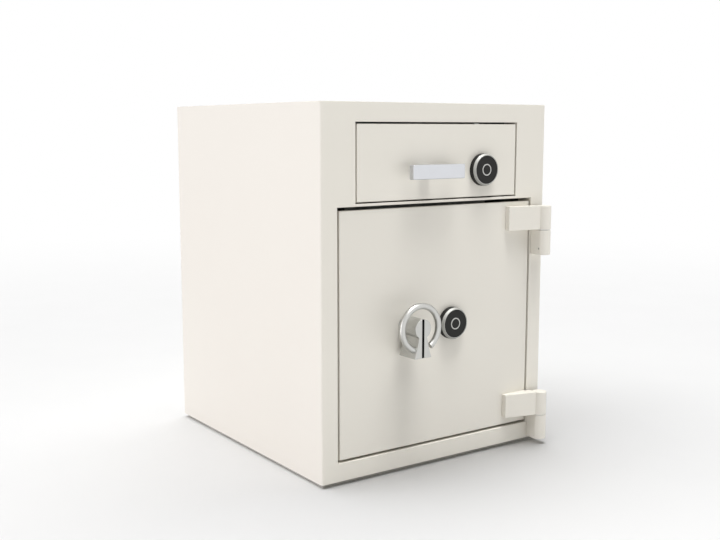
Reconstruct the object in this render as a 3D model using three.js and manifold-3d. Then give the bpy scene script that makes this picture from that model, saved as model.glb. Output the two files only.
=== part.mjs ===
// A free-standing drop safe: a barrier-filled steel cabinet with a vault door below
// and a deposit drawer above, whose sprung floor lets a deposit fall into the vault.
// Millimetres. X runs right from the cabinet's left face, Y back from its front face and
// Z up from the floor; the last lines put the origin under the middle of the base.
import * as THREE from "three";
import * as BufferGeometryUtils from "three/addons/utils/BufferGeometryUtils.js";
import Module from "manifold-3d";

const wasm = await Module();
wasm.setup();

// Cabinet
const bodyWidth = 624;
const bodyDepth = 665;
const bodyHeight = 802;
const cornerRadius = 5;
const basePlateThickness = 8;
const basePlateInset = 7;
const skinThickness = 3;
const barrierThickness = 19.4;
const linerThickness = 2;

// Clearances: between fitted pieces, round what turns, and how far a cutter runs past
const fitGap = 0.3;
const runningGap = 0.6;
const through = 5;

// Front frame and its two openings
const frameDepth = 39.4;
const frameLeft = 40.2;
const frameRight = 40.6;
const sillHeight = 39.8;
const headerHeight = 40.8;
const drawerOpeningHeight = 167.8;
const drawerCheekLeft = 45.2;
const drawerCheekRight = 48.6;
const bayFloorThickness = 5.5;

// Drawer, its tray and its slides
const drawerGapLeft = 3.9;
const drawerGapRight = 3.3;
const drawerGapBottom = 3.2;
const drawerGapTop = 3.9;
const drawerRecess = 1;
const drawerFrontThickness = 11;
const lockRoomDepth = 34;
const trayDepth = 433;
const trayTopDrop = 16.2;
const sheet = 2;
const baySideThickness = 3;
const baySideDepth = 427;
const slideLength = 400;
const slideHeight = 46;
const slideWidth = 12.7;
const slideWall = 1.4;
const slidePlay = 0.5;
const slideSetback = 50;
const slideRise = 67.5;

// Trap in the tray's floor and the chute under it
const trapSideMargin = 26.45;
const trapDepth = 156;
const trapStart = 100;
const flapOverlap = 8;
const flapPinRadius = 3;
const flapBarrelWall = 1.9;
const flapPinSetback = 12;
const lugWidth = 11;
const lugSeat = 0.5;
const springWire = 1.2;
const springTurns = 7;
const springRoom = 28;
const chuteMargin = 5;
const chuteHeight = 141.7;
const chuteBackRoom = 20;
const baffleHeight = 80;
const baffleReach = 70;

// Drawer pull, a bar on one round post set left of its middle
const pullLength = 141;
const pullHeight = 31;
const pullThickness = 15.7;
const pullProjection = 38;
const pullOffset = -32.6;
const pullPostOffset = -12.5;
const pullPostRadius = 14;
const pullEdgeRadius = 3;

// Lock dials and lock cases
const drawerDialInset = 104.5;
const drawerLineRise = 63.1;
const doorDialOffset = 33.05;
const dialRadius = 36;
const dialBaseDepth = 11;
const dialProjection = 17.5;
const dialFaceRadius = 31.2;
const dialRingRadius = 13;
const dialRingWidth = 2.3;
const dialRingDepth = 1;
const dialSpindleRadius = 4;
const dialBaseChamfer = 1;
const bezelLand = 1.2;
const spindleInCase = 4;
const lockCaseWidth = 60;
const lockCaseHeight = 84;
const lockCaseThickness = 25;
const lockBoltWidth = 12;
const lockBoltThickness = 8;
const lockBoltThrow = 10;
const lockBoltTipGap = 2;
const keeperClearance = 2;

// Door
const doorGapLeft = 6.4;
const doorGapRight = 2.7;
const doorGapBottom = 5.4;
const doorGapTop = 7.4;
const doorRecess = 3;
const doorPlateThickness = 10;
const doorStep = 5.4;
const doorStepTop = 8;
const doorStepBottom = 7.6;
const doorStepHinge = 8.1;
const doorBarrierThickness = 26.7;
const doorCoverDepth = 33.7;

// Boltwork
const boltRadius = 11;
const boltClearance = 0.4;
const boltSpacing = 170;
const boltThrow = 24;
const boltLength = 34.2;
const boltBarWidth = 26;
const boltBarThickness = 6;
const webRim = 18;
const boltTipSetback = 1.5;
const boltY = 55;
const armHeight = 30;
const notchWidth = 14;
const slotPlay = 0.8;
const dogBarWidth = 17.7;
const dogBarLength = 380;

// Handle: a keyhole-shaped block with a black inlay, carrying an open ring
const handleOffset = -96.85;
const handleRise = 10;
const handleProjection = 62;
const handleBack = 8;
const handleHeadRadius = 21;
const handleWaist = 10.7;
const handleFoot = 22.5;
const handleFootDrop = 63;
const handleFlare = 0.3;
const inlayWidth = 6;
const inlayDepth = 4;
const ringRadius = 48.4;
const ringWireRadius = 7;
const ringSetback = 10;
const ringFreeEndAngle = 32;
const handleShaftRadius = 8;
const handleCollarRadius = 17;
const crankPinRadius = 4;
const crankRim = 2;
const crankSetback = 2;
const crankToBar = 4;

// Hinges
const hingeInset = 22.5;
const hingeAxisY = -27;
const barrelRadius = 16;
const leafReach = 94;
const leafThickness = 13;
const leafCrease = 12;
const leafBackAngle = 135;
const leafBackSetback = 2.5;
const leafClearance = 3;
const leafHeight = 55;
const knuckleHeight = 58;
const knuckleLean = 4;
const hingeJoint = 1.5;
const hingePinRadius = 7;
const hingePinReach = 44;
const hingeCollarRadius = 14;
const upperHingeDrop = 125;
const lowerHingeRise = 4;
const setScrewRadius = 2.4;
const setScrewHeight = 14.5;
const setScrewRecess = 1;

// Levels and planes that follow from the sizes above
const wall = skinThickness + barrierThickness + linerThickness + 2 * fitGap;
const shellBottom = basePlateThickness;
const skinBack = skinThickness + fitGap;
const frameBack = skinBack + frameDepth;
const doorOpening = {
  left: frameLeft,
  right: bodyWidth - frameRight,
  bottom: shellBottom + sillHeight,
  top: bodyHeight - headerHeight - drawerOpeningHeight - bayFloorThickness,
};
const drawerOpening = {
  left: frameLeft + drawerCheekLeft,
  right: bodyWidth - frameRight - drawerCheekRight,
  bottom: doorOpening.top + bayFloorThickness,
  top: bodyHeight - headerHeight,
};
const interior = {
  left: wall,
  right: bodyWidth - wall,
  back: bodyDepth - wall,
  bottom: shellBottom + wall,
  top: bodyHeight - wall,
};

// Faces of the drawer and the door, and the lines that their fittings are set out on
const drawerFace = {
  left: drawerOpening.left + drawerGapLeft,
  right: drawerOpening.right - drawerGapRight,
  bottom: drawerOpening.bottom + drawerGapBottom,
  top: drawerOpening.top - drawerGapTop,
};
const doorFace = {
  left: doorOpening.left + doorGapLeft,
  right: doorOpening.right - doorGapRight,
  bottom: doorOpening.bottom + doorGapBottom,
  top: doorOpening.top - doorGapTop,
};
const drawerRun = [drawerRecess, drawerRecess + drawerFrontThickness];
const plateRun = [doorRecess, doorRecess + doorPlateThickness];
const trayFront = drawerRun[1] + fitGap;
const drawerMiddleX = (drawerOpening.left + drawerOpening.right) / 2;
const drawerLineZ = drawerOpening.bottom + drawerLineRise;
const drawerDialX = drawerOpening.right - drawerDialInset;
const pullCentreX = drawerMiddleX + pullOffset;
const pullPostX = pullCentreX + pullPostOffset;
const doorMiddleX = (doorFace.left + doorFace.right) / 2;
const doorMiddleZ = (doorFace.bottom + doorFace.top) / 2;
const doorDialX = doorMiddleX + doorDialOffset;
const handleX = doorMiddleX + handleOffset;
const handleZ = doorMiddleZ + handleRise;
const hingeAxisX = bodyWidth - hingeInset;

function finish(colour, roughness, metalness) {
  return new THREE.MeshStandardMaterial({ color: colour, roughness, metalness });
}

const creamPaint = finish(0xdfdcd0, 0.45, 0);
const greyPaint = finish(0x8d8f8c, 0.6, 0);
const barrierFill = finish(0xa9a59c, 0.95, 0);
const zincSteel = finish(0xb4b7b8, 0.4, 0.9);
const satinNickel = finish(0xc9c8c5, 0.3, 1);
const brightChrome = finish(0xd4d7db, 0.15, 1);
const blackPlastic = finish(0x2b2a29, 0.45, 0);

const safe = new THREE.Group();

function add(name, geometry, material) {
  const mesh = new THREE.Mesh(geometry, material);
  mesh.name = name;
  safe.add(mesh);
}

// Closed bodies for the boolean cuts, with the zero-area triangles of a pole left out
function toSolid(geometry) {
  const plain = geometry.clone();
  plain.deleteAttribute("normal");
  plain.deleteAttribute("uv");
  const merged = BufferGeometryUtils.mergeVertices(plain, 1e-4);
  const index = merged.index.array;
  const triangles = [];
  for (let i = 0; i < index.length; i += 3) {
    const [a, b, c] = [index[i], index[i + 1], index[i + 2]];
    if (a !== b && b !== c && c !== a) {
      triangles.push(a, b, c);
    }
  }
  const mesh = new wasm.Mesh({
    numProp: 3,
    vertProperties: new Float32Array(merged.attributes.position.array),
    triVerts: new Uint32Array(triangles),
  });
  return new wasm.Manifold(mesh);
}

function toGeometry(solid) {
  const mesh = solid.getMesh();
  const geometry = new THREE.BufferGeometry();
  geometry.setAttribute("position", new THREE.BufferAttribute(mesh.vertProperties, 3));
  geometry.setIndex(new THREE.BufferAttribute(mesh.triVerts, 1));
  geometry.computeVertexNormals();
  return geometry;
}

function cut(geometry, ...holes) {
  let solid = toSolid(geometry);
  for (const hole of holes) {
    solid = solid.subtract(toSolid(hole));
  }
  return toGeometry(solid);
}

function join(geometry, ...others) {
  let solid = toSolid(geometry);
  for (const other of others) {
    solid = solid.add(toSolid(other));
  }
  return toGeometry(solid);
}

function block([x0, x1], [y0, y1], [z0, z1]) {
  const box = new THREE.BoxGeometry(x1 - x0, y1 - y0, z1 - z0);
  return box.translate((x0 + x1) / 2, (y0 + y1) / 2, (z0 + z1) / 2);
}

function rodAlongX(radius, [x0, x1], y, z, sides = 24) {
  const rod = new THREE.CylinderGeometry(radius, radius, x1 - x0, sides);
  return rod.rotateZ(-Math.PI / 2).translate((x0 + x1) / 2, y, z);
}

function rodAlongY(radius, x, [y0, y1], z, sides = 24) {
  const rod = new THREE.CylinderGeometry(radius, radius, y1 - y0, sides);
  return rod.translate(x, (y0 + y1) / 2, z);
}

function rodAlongZ(radius, x, y, [z0, z1], sides = 24) {
  const rod = new THREE.CylinderGeometry(radius, radius, z1 - z0, sides);
  return rod.rotateX(Math.PI / 2).translate(x, y, (z0 + z1) / 2);
}

// A plan outline in X and Y, raised from z0 to z1
function raise(shape, [z0, z1], curveSegments = 12) {
  const solid = new THREE.ExtrudeGeometry(shape, { depth: z1 - z0, bevelEnabled: false, curveSegments });
  return solid.translate(0, 0, z0);
}

// An elevation outline in X and Z, run from y0 back to y1
function runBack(shape, [y0, y1], curveSegments = 12) {
  const solid = new THREE.ExtrudeGeometry(shape, { depth: y1 - y0, bevelEnabled: false, curveSegments });
  return solid.rotateX(Math.PI / 2).translate(0, y1, 0);
}

// A profile of [radius, y] points turned about an axis that runs along Y
function turn(profile, x, z, sides = 48) {
  const points = profile.map(([radius, y]) => new THREE.Vector2(radius, y));
  return new THREE.LatheGeometry(points, sides).translate(x, 0, z);
}

function polygon(points) {
  return new THREE.Shape(points.map(([x, y]) => new THREE.Vector2(x, y)));
}

// Cabinet skin: sides, top, bottom and the folded front face with both openings
const skinOutline = new THREE.Shape();
skinOutline.moveTo(0, bodyDepth);
skinOutline.lineTo(0, cornerRadius);
skinOutline.absarc(cornerRadius, cornerRadius, cornerRadius, Math.PI, 1.5 * Math.PI, false);
skinOutline.absarc(bodyWidth - cornerRadius, cornerRadius, cornerRadius, 1.5 * Math.PI, 2 * Math.PI, false);
skinOutline.lineTo(bodyWidth, bodyDepth);
add("outer_shell", cut(
  raise(skinOutline, [shellBottom, bodyHeight], 4),
  block(
    [skinThickness, bodyWidth - skinThickness],
    [skinThickness, bodyDepth + through],
    [shellBottom + skinThickness, bodyHeight - skinThickness],
  ),
  block([doorOpening.left, doorOpening.right], [-through, through], [doorOpening.bottom, doorOpening.top]),
  block(
    [drawerOpening.left, drawerOpening.right],
    [-through, through],
    [drawerOpening.bottom, drawerOpening.top],
  ),
), creamPaint);

add("base_plate", block(
  [basePlateInset, bodyWidth - basePlateInset],
  [basePlateInset, bodyDepth - basePlateInset],
  [0, basePlateThickness],
), greyPaint);

const lining = {
  left: skinBack,
  right: bodyWidth - skinBack,
  bottom: shellBottom + skinBack,
  top: bodyHeight - skinBack,
  back: bodyDepth - skinBack,
};
add("back_plate", block(
  [lining.left, lining.right],
  [bodyDepth - skinThickness, bodyDepth],
  [lining.bottom, lining.top],
), creamPaint);

// Precast barrier slabs between the skin and the liner
const slabFront = frameBack + fitGap;
const linerOuter = linerThickness + fitGap;
add("barrier_bottom", block(
  [lining.left, lining.right],
  [slabFront, lining.back],
  [lining.bottom, lining.bottom + barrierThickness],
), barrierFill);
add("barrier_top", block(
  [lining.left, lining.right],
  [slabFront, lining.back],
  [lining.top - barrierThickness, lining.top],
), barrierFill);
const slabHeights = [interior.bottom - linerThickness, interior.top + linerThickness];
add("barrier_left", block(
  [lining.left, lining.left + barrierThickness],
  [slabFront, lining.back],
  slabHeights,
), barrierFill);
add("barrier_right", block(
  [lining.right - barrierThickness, lining.right],
  [slabFront, lining.back],
  slabHeights,
), barrierFill);
add("barrier_back", block(
  [interior.left - linerThickness, interior.right + linerThickness],
  [interior.back + linerOuter, lining.back],
  slabHeights,
), barrierFill);

add("inner_liner", cut(
  block(
    [interior.left - linerThickness, interior.right + linerThickness],
    [slabFront, interior.back + linerThickness],
    slabHeights,
  ),
  block(
    [interior.left, interior.right],
    [slabFront - through, interior.back],
    [interior.bottom, interior.top],
  ),
), greyPaint);

// Frame bars behind the front face; the side bars widen beside the drawer
const cheekBottom = drawerOpening.bottom + fitGap;
add("frame_left", runBack(polygon([
  [lining.left, lining.bottom],
  [doorOpening.left, lining.bottom],
  [doorOpening.left, cheekBottom],
  [drawerOpening.left, cheekBottom],
  [drawerOpening.left, lining.top],
  [lining.left, lining.top],
]), [skinBack, frameBack]), creamPaint);
add("frame_right", runBack(polygon([
  [doorOpening.right, lining.bottom],
  [lining.right, lining.bottom],
  [lining.right, lining.top],
  [drawerOpening.right, lining.top],
  [drawerOpening.right, cheekBottom],
  [doorOpening.right, cheekBottom],
]), [skinBack, frameBack]), creamPaint);
add("frame_sill", block(
  [doorOpening.left + fitGap, doorOpening.right - fitGap],
  [skinBack, frameBack],
  [lining.bottom, doorOpening.bottom],
), creamPaint);

// The header has a pocket that the drawer's lock bolt rises into
const lockBoltY = trayFront + lockCaseThickness / 2;
const drawerKeeper = block(
  [drawerDialX - lockBoltWidth / 2 - keeperClearance, drawerDialX + lockBoltWidth / 2 + keeperClearance],
  [lockBoltY - lockBoltThickness / 2 - keeperClearance, lockBoltY + lockBoltThickness / 2 + keeperClearance],
  [drawerOpening.top - through, drawerOpening.top + lockBoltThrow + keeperClearance],
);
add("frame_header", cut(
  block(
    [drawerOpening.left + fitGap, drawerOpening.right - fitGap],
    [skinBack, frameBack],
    [drawerOpening.top, lining.top],
  ),
  drawerKeeper,
), creamPaint);

// Drawer bay: floor with the drop opening, and side plates that carry the slides
const trayOuter = {
  left: drawerOpening.left + slideWidth + fitGap,
  right: drawerOpening.right - slideWidth - fitGap,
};
const trap = {
  left: trayOuter.left + trapSideMargin,
  right: trayOuter.right - trapSideMargin,
  front: trapStart,
  back: trapStart + trapDepth,
};
const flap = {
  left: trap.left - flapOverlap,
  right: trap.right + flapOverlap,
  back: trap.back + flapOverlap,
};
const pinY = trap.front - flapPinSetback;
const drop = {
  left: flap.left - chuteMargin,
  right: flap.right + chuteMargin,
  front: pinY - flapPinRadius - chuteMargin,
  back: flap.back + chuteBackRoom,
};
const bayTongue = block(
  [doorOpening.left + fitGap, doorOpening.right - fitGap],
  [skinBack, slabFront + through],
  [doorOpening.top, drawerOpening.bottom],
);
const bayFloorPlate = block(
  [interior.left + fitGap, interior.right - fitGap],
  [slabFront, interior.back - fitGap],
  [doorOpening.top, drawerOpening.bottom],
);
const dropHole = block(
  [drop.left, drop.right],
  [drop.front, drop.back],
  [doorOpening.top - through, drawerOpening.bottom + through],
);
add("bay_floor", cut(join(bayFloorPlate, bayTongue), dropHole), creamPaint);

const baySideHeights = [drawerOpening.bottom + fitGap, interior.top - fitGap];
const baySideRun = [slabFront, slabFront + baySideDepth];
add("bay_side_left", block(
  [drawerOpening.left - fitGap - baySideThickness, drawerOpening.left - fitGap],
  baySideRun,
  baySideHeights,
), greyPaint);
add("bay_side_right", block(
  [drawerOpening.right + fitGap, drawerOpening.right + fitGap + baySideThickness],
  baySideRun,
  baySideHeights,
), greyPaint);

// Chute: a square duct under the bay floor, with a sloping baffle against fishing
const chuteTop = doorOpening.top - fitGap;
const chuteBottom = chuteTop - chuteHeight;
const chuteHeights = [chuteBottom, chuteTop];
const duct = cut(
  block([drop.left - sheet, drop.right + sheet], [drop.front - sheet, drop.back + sheet], chuteHeights),
  block([drop.left, drop.right], [drop.front, drop.back], [chuteBottom - through, chuteTop + through]),
);
const baffleOutline = polygon([
  [drop.back + sheet / 2, chuteBottom + baffleHeight],
  [drop.back + sheet / 2, chuteBottom + baffleHeight + sheet],
  [drop.back - baffleReach, chuteBottom + 2 * sheet],
  [drop.back - baffleReach, chuteBottom + sheet],
]);
const baffle = new THREE.ExtrudeGeometry(baffleOutline, {
  depth: drop.right - drop.left + sheet,
  bevelEnabled: false,
});
baffle.rotateZ(Math.PI / 2).rotateY(Math.PI / 2).translate(drop.left - sheet / 2, 0, 0);
add("drop_chute", join(duct, baffle), greyPaint);

// Telescopic slides, one pair of three nested channels on each side of the drawer.
// The left one is drawn, and the right one is its mirror image about the drawer.
const slideMiddleZ = drawerOpening.bottom + slideRise;
const slideRun = [slideSetback, slideSetback + slideLength];

function channel(openX, webX, height) {
  const side = Math.sign(openX - webX);
  const top = slideMiddleZ + height / 2;
  const bottom = slideMiddleZ - height / 2;
  const hollow = [openX + side * through, webX + side * slideWall];
  return cut(
    block([Math.min(openX, webX), Math.max(openX, webX)], slideRun, [bottom, top]),
    block(
      [Math.min(...hollow), Math.max(...hollow)],
      [slideRun[0] - through, slideRun[1] + through],
      [bottom + slideWall, top - slideWall],
    ),
  );
}

function addSlides(name, openX, webX, height) {
  add(`${name}_left`, channel(openX, webX, height), zincSteel);
  add(`${name}_right`, channel(2 * drawerMiddleX - openX, 2 * drawerMiddleX - webX, height), zincSteel);
}

const middleHeight = slideHeight - 2 * slideWall - 2 * slidePlay;
const innerHeight = middleHeight - 2 * slideWall - 2 * slidePlay;
const slideFace = drawerOpening.left + slideWidth;
const channelEnd = slideFace - slideWall - slidePlay;
addSlides("slide_outer", channelEnd, drawerOpening.left, slideHeight);
addSlides("slide_middle", channelEnd, drawerOpening.left + slideWall + slidePlay, middleHeight);
addSlides("slide_inner", drawerOpening.left + 2 * (slideWall + slidePlay), slideFace, innerHeight);

// Drawer front, bored for the dial's spindle
const spindleHole = dialSpindleRadius + runningGap;
add("drawer_front", cut(
  block([drawerFace.left, drawerFace.right], drawerRun, [drawerFace.bottom, drawerFace.top]),
  rodAlongY(spindleHole, drawerDialX, [-through, drawerRun[1] + through], drawerLineZ),
), creamPaint);

// Tray: a lock room in front, then the deposit space with a trap opening in its floor
const barrelRadiusFlap = flapPinRadius + fitGap + flapBarrelWall;
const flapTop = drawerFace.bottom + 2 * barrelRadiusFlap;
const pinZ = flapTop - barrelRadiusFlap;
const trayBottom = flapTop + fitGap;
const trayBack = trayFront + trayDepth;
const trayTop = drawerFace.top - trayTopDrop;
const roomWall = trayFront + lockRoomDepth;
const trayBody = cut(
  block([trayOuter.left, trayOuter.right], [trayFront, trayBack], [trayBottom, trayTop]),
  block(
    [trayOuter.left + sheet, trayOuter.right - sheet],
    [trayFront - through, roomWall],
    [trayBottom + sheet, trayTop + through],
  ),
  block(
    [trayOuter.left + sheet, trayOuter.right - sheet],
    [roomWall + sheet, trayBack - sheet],
    [trayBottom + sheet, trayTop + through],
  ),
  block([trap.left, trap.right], [trap.front, trap.back], [trayBottom - through, trayBottom + 2 * sheet]),
);
function pinLug(x0) {
  const lug = block(
    [x0, x0 + lugWidth],
    [pinY - barrelRadiusFlap, pinY + barrelRadiusFlap],
    [drawerFace.bottom, trayBottom + lugSeat],
  );
  return cut(lug, rodAlongX(flapPinRadius + fitGap, [x0 - through, x0 + lugWidth + through], pinY, pinZ, 16));
}
const leftLug = flap.left - fitGap - lugWidth;
const rightLug = flap.right + fitGap;
add("drawer_tray", join(trayBody, pinLug(leftLug), pinLug(rightLug)), greyPaint);

// Trap flap, hinged on a pin under the tray's floor and held shut by a torsion spring
const barrelRun = [flap.left + springRoom, flap.right];
add("trap_flap", cut(
  join(
    block([flap.left, flap.right], [pinY, flap.back], [flapTop - sheet, flapTop]),
    rodAlongX(barrelRadiusFlap, barrelRun, pinY, pinZ, 20),
  ),
  rodAlongX(flapPinRadius + fitGap, [flap.left - through, flap.right + through], pinY, pinZ, 16),
  block(
    [flap.left - through, flap.left + springRoom],
    [pinY - barrelRadiusFlap, pinY + barrelRadiusFlap + fitGap],
    [pinZ - barrelRadiusFlap, flapTop + through],
  ),
), zincSteel);
add("flap_pin", rodAlongX(flapPinRadius, [leftLug, rightLug + lugWidth], pinY, pinZ, 16), zincSteel);

class CoilRoute extends THREE.Curve {
  constructor(radius, turns, length) {
    super();
    this.radius = radius;
    this.turns = turns;
    this.length = length;
  }
  getPoint(t) {
    const angle = 2 * Math.PI * this.turns * t;
    return new THREE.Vector3(this.length * t, this.radius * Math.cos(angle), this.radius * Math.sin(angle));
  }
}
const coilRadius = flapPinRadius + fitGap + springWire / 2;
const coilLength = springRoom - springWire - 2 * fitGap;
const wireSection = new THREE.Shape();
wireSection.absarc(0, 0, springWire / 2, 0, 2 * Math.PI, false);
const coil = new THREE.ExtrudeGeometry(wireSection, {
  steps: springTurns * 8,
  curveSegments: 5,
  bevelEnabled: false,
  extrudePath: new CoilRoute(coilRadius, springTurns, coilLength),
});
add("flap_spring", coil.translate(flap.left + springWire / 2 + fitGap, pinY, pinZ), zincSteel);

// Drawer pull
const pullRect = new THREE.Shape();
const pullLeft = pullCentreX - pullLength / 2;
const pullRight = pullCentreX + pullLength / 2;
const pullBottom = drawerLineZ - pullHeight / 2;
const pullTop = drawerLineZ + pullHeight / 2;
const r = pullEdgeRadius;
pullRect.absarc(pullRight - r, pullTop - r, r, 0, 0.5 * Math.PI, false);
pullRect.absarc(pullLeft + r, pullTop - r, r, 0.5 * Math.PI, Math.PI, false);
pullRect.absarc(pullLeft + r, pullBottom + r, r, Math.PI, 1.5 * Math.PI, false);
pullRect.absarc(pullRight - r, pullBottom + r, r, 1.5 * Math.PI, 2 * Math.PI, false);
const pullBack = -pullProjection + pullThickness;
add("pull_bar", join(
  runBack(pullRect, [-pullProjection, pullBack], 4),
  rodAlongY(pullPostRadius, pullPostX, [pullBack - 1, drawerRecess - fitGap], drawerLineZ, 32),
), brightChrome);

// Lock dial on a face at y = seat: fixed black base, bevelled bright bezel, black face
// with a bright ring
function addDial(owner, x, seat, z, spindleEnd) {
  const baseBack = seat - fitGap;
  const baseFront = seat - dialBaseDepth;
  const knobBack = baseFront - fitGap;
  const knobFront = seat - dialProjection;
  const bezelInner = dialFaceRadius + fitGap;
  add(`${owner}_dial_base`, turn([
    [spindleHole, baseBack],
    [spindleHole, baseFront],
    [dialRadius - dialBaseChamfer, baseFront],
    [dialRadius, baseFront + dialBaseChamfer],
    [dialRadius, baseBack],
    [spindleHole, baseBack],
  ], x, z), blackPlastic);
  add(`${owner}_dial_bezel`, turn([
    [bezelInner, knobBack],
    [bezelInner, knobFront],
    [bezelInner + bezelLand, knobFront],
    [dialRadius - fitGap, knobBack - bezelLand],
    [dialRadius - fitGap, knobBack],
    [bezelInner, knobBack],
  ], x, z), satinNickel);
  const faceFront = knobFront + fitGap;
  const grooveInner = dialRingRadius - dialRingWidth - fitGap;
  const grooveOuter = dialRingRadius + fitGap;
  const grooveDepth = dialRingDepth + fitGap;
  add(`${owner}_dial_knob`, turn([
    [0, faceFront],
    [grooveInner, faceFront],
    [grooveInner, faceFront + grooveDepth],
    [grooveOuter, faceFront + grooveDepth],
    [grooveOuter, faceFront],
    [dialFaceRadius, faceFront],
    [dialFaceRadius, knobBack],
    [dialSpindleRadius, knobBack],
    [dialSpindleRadius, spindleEnd],
    [0, spindleEnd],
  ], x, z), blackPlastic);
  const ringBack = faceFront + dialRingDepth;
  const ringFront = faceFront - fitGap;
  add(`${owner}_dial_ring`, turn([
    [dialRingRadius - dialRingWidth, ringBack],
    [dialRingRadius - dialRingWidth, ringFront],
    [dialRingRadius, ringFront],
    [dialRingRadius, ringBack],
    [dialRingRadius - dialRingWidth, ringBack],
  ], x, z, 36), satinNickel);
}

// Lock case with its bolt, which rises out of a slot in the top when it locks
function addLock(owner, x, z, caseFront, boltTipZ) {
  const caseTop = z + lockCaseHeight / 2;
  const middleY = caseFront + lockCaseThickness / 2;
  const boltFoot = caseTop - 2 * lockBoltThrow - lockBoltWidth;
  add(`${owner}_lock_case`, cut(
    block(
      [x - lockCaseWidth / 2, x + lockCaseWidth / 2],
      [caseFront, caseFront + lockCaseThickness],
      [z - lockCaseHeight / 2, caseTop],
    ),
    rodAlongY(spindleHole, x, [caseFront - through, caseFront + through], z),
    block(
      [x - lockBoltWidth / 2 - fitGap, x + lockBoltWidth / 2 + fitGap],
      [middleY - lockBoltThickness / 2 - fitGap, middleY + lockBoltThickness / 2 + fitGap],
      [boltFoot - fitGap, caseTop + through],
    ),
  ), zincSteel);
  add(`${owner}_lock_bolt`, block(
    [x - lockBoltWidth / 2, x + lockBoltWidth / 2],
    [middleY - lockBoltThickness / 2, middleY + lockBoltThickness / 2],
    [boltFoot, boltTipZ],
  ), zincSteel);
}

addDial("drawer", drawerDialX, drawerRecess, drawerLineZ, trayFront + spindleInCase);
addLock("drawer", drawerDialX, drawerLineZ, trayFront, drawerOpening.top - lockBoltTipGap);

// Door: front plate, barrier block and the cover that holds the boltwork
const doorCore = {
  left: doorFace.left + doorStep,
  right: doorFace.right - doorStepHinge,
  bottom: doorFace.bottom + doorStepBottom,
  top: doorFace.top - doorStepTop,
};
const barrierFront = plateRun[1] + fitGap;
const barrierBack = barrierFront + doorBarrierThickness;
const coverFront = barrierBack + fitGap;
const coverBack = coverFront + doorCoverDepth;
const shaftHole = handleShaftRadius + runningGap;

function throughDoor([y0, y1]) {
  const run = [y0 - through, y1 + through];
  return [rodAlongY(shaftHole, handleX, run, handleZ), rodAlongY(spindleHole, doorDialX, run, doorMiddleZ)];
}

add("door_plate", cut(
  block([doorFace.left, doorFace.right], plateRun, [doorFace.bottom, doorFace.top]),
  ...throughDoor(plateRun),
), creamPaint);
const barrierRun = [barrierFront, barrierBack];
add("door_barrier", cut(
  block([doorCore.left, doorCore.right], barrierRun, [doorCore.bottom, doorCore.top]),
  ...throughDoor(barrierRun),
), barrierFill);

const boltLevels = [-1, 0, 1].map((step) => doorMiddleZ + step * boltSpacing);
const boltTipX = doorCore.left - boltTipSetback;
const boltHoles = boltLevels.map((z) => (
  rodAlongX(boltRadius + boltClearance, [doorCore.left - through, doorCore.left + through], boltY, z)
));
add("door_cover", cut(
  block([doorCore.left, doorCore.right], [coverFront, coverBack], [doorCore.bottom, doorCore.top]),
  block(
    [doorCore.left + sheet, doorCore.right - sheet],
    [coverFront - through, coverBack - sheet],
    [doorCore.bottom + sheet, doorCore.top - sheet],
  ),
  ...boltHoles,
), greyPaint);
add("dog_bar", block(
  [doorCore.right + fitGap, doorCore.right + fitGap + dogBarWidth],
  [boltY - boltBarThickness, boltY + boltRadius],
  [doorMiddleZ - dogBarLength / 2, doorMiddleZ + dogBarLength / 2],
), zincSteel);

addDial("door", doorDialX, doorRecess, doorMiddleZ, coverFront + spindleInCase);
const doorBoltTip = doorMiddleZ + lockCaseHeight / 2 + lockBoltTipGap;
addLock("door", doorDialX, doorMiddleZ, coverFront, doorBoltTip);

// Boltwork: three round bolts on a flat bar; the crank pin runs in its upright slot,
// and the lock bolt rises into one of two notches in its arm
const boltEnd = boltTipX + boltLength;
boltLevels.forEach((z, i) => {
  const name = ["door_bolt_lower", "door_bolt_middle", "door_bolt_upper"][i];
  add(name, rodAlongX(boltRadius, [boltTipX, boltEnd], boltY, z), zincSteel);
});
const crankRadius = boltThrow / Math.SQRT2;
const crankPinX = handleX + boltThrow / 2;
const crankPinHigh = handleZ - boltThrow / 2;
const crankPinLow = handleZ - crankRadius;
const barLeft = boltEnd + fitGap;
const barEnd = boltLevels[2] + boltRadius + boltBarThickness;
const barFoot = boltLevels[0] - boltRadius - boltBarThickness;
const armBottom = doorBoltTip + lockBoltTipGap;
const armTop = armBottom + armHeight;
const webRight = doorDialX - lockCaseWidth / 2 - 2 * boltThrow;
const webBottom = crankPinLow - crankPinRadius - webRim;
const armRight = doorDialX + boltThrow + notchWidth;
const barOutline = polygon([
  [barLeft, barFoot],
  [barLeft + boltBarWidth, barFoot],
  [barLeft + boltBarWidth, webBottom],
  [webRight, webBottom],
  [webRight, armBottom],
  [armRight, armBottom],
  [armRight, armTop],
  [barLeft + boltBarWidth, armTop],
  [barLeft + boltBarWidth, barEnd],
  [barLeft, barEnd],
]);
const barRun = [boltY - boltBarThickness / 2, boltY + boltBarThickness / 2];
const cutRun = [barRun[0] - through, barRun[1] + through];
const crankSlot = block(
  [crankPinX - crankPinRadius - slotPlay, crankPinX + crankPinRadius + slotPlay],
  cutRun,
  [crankPinLow - crankPinRadius - slotPlay, crankPinHigh + crankPinRadius + slotPlay],
);
const notches = [0, boltThrow].map((shift) => block(
  [doorDialX + shift - notchWidth / 2, doorDialX + shift + notchWidth / 2],
  cutRun,
  [armBottom - through, doorBoltTip + lockBoltThrow + lockBoltTipGap],
));
add("bolt_bar", cut(runBack(barOutline, barRun), crankSlot, ...notches), zincSteel);

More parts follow.
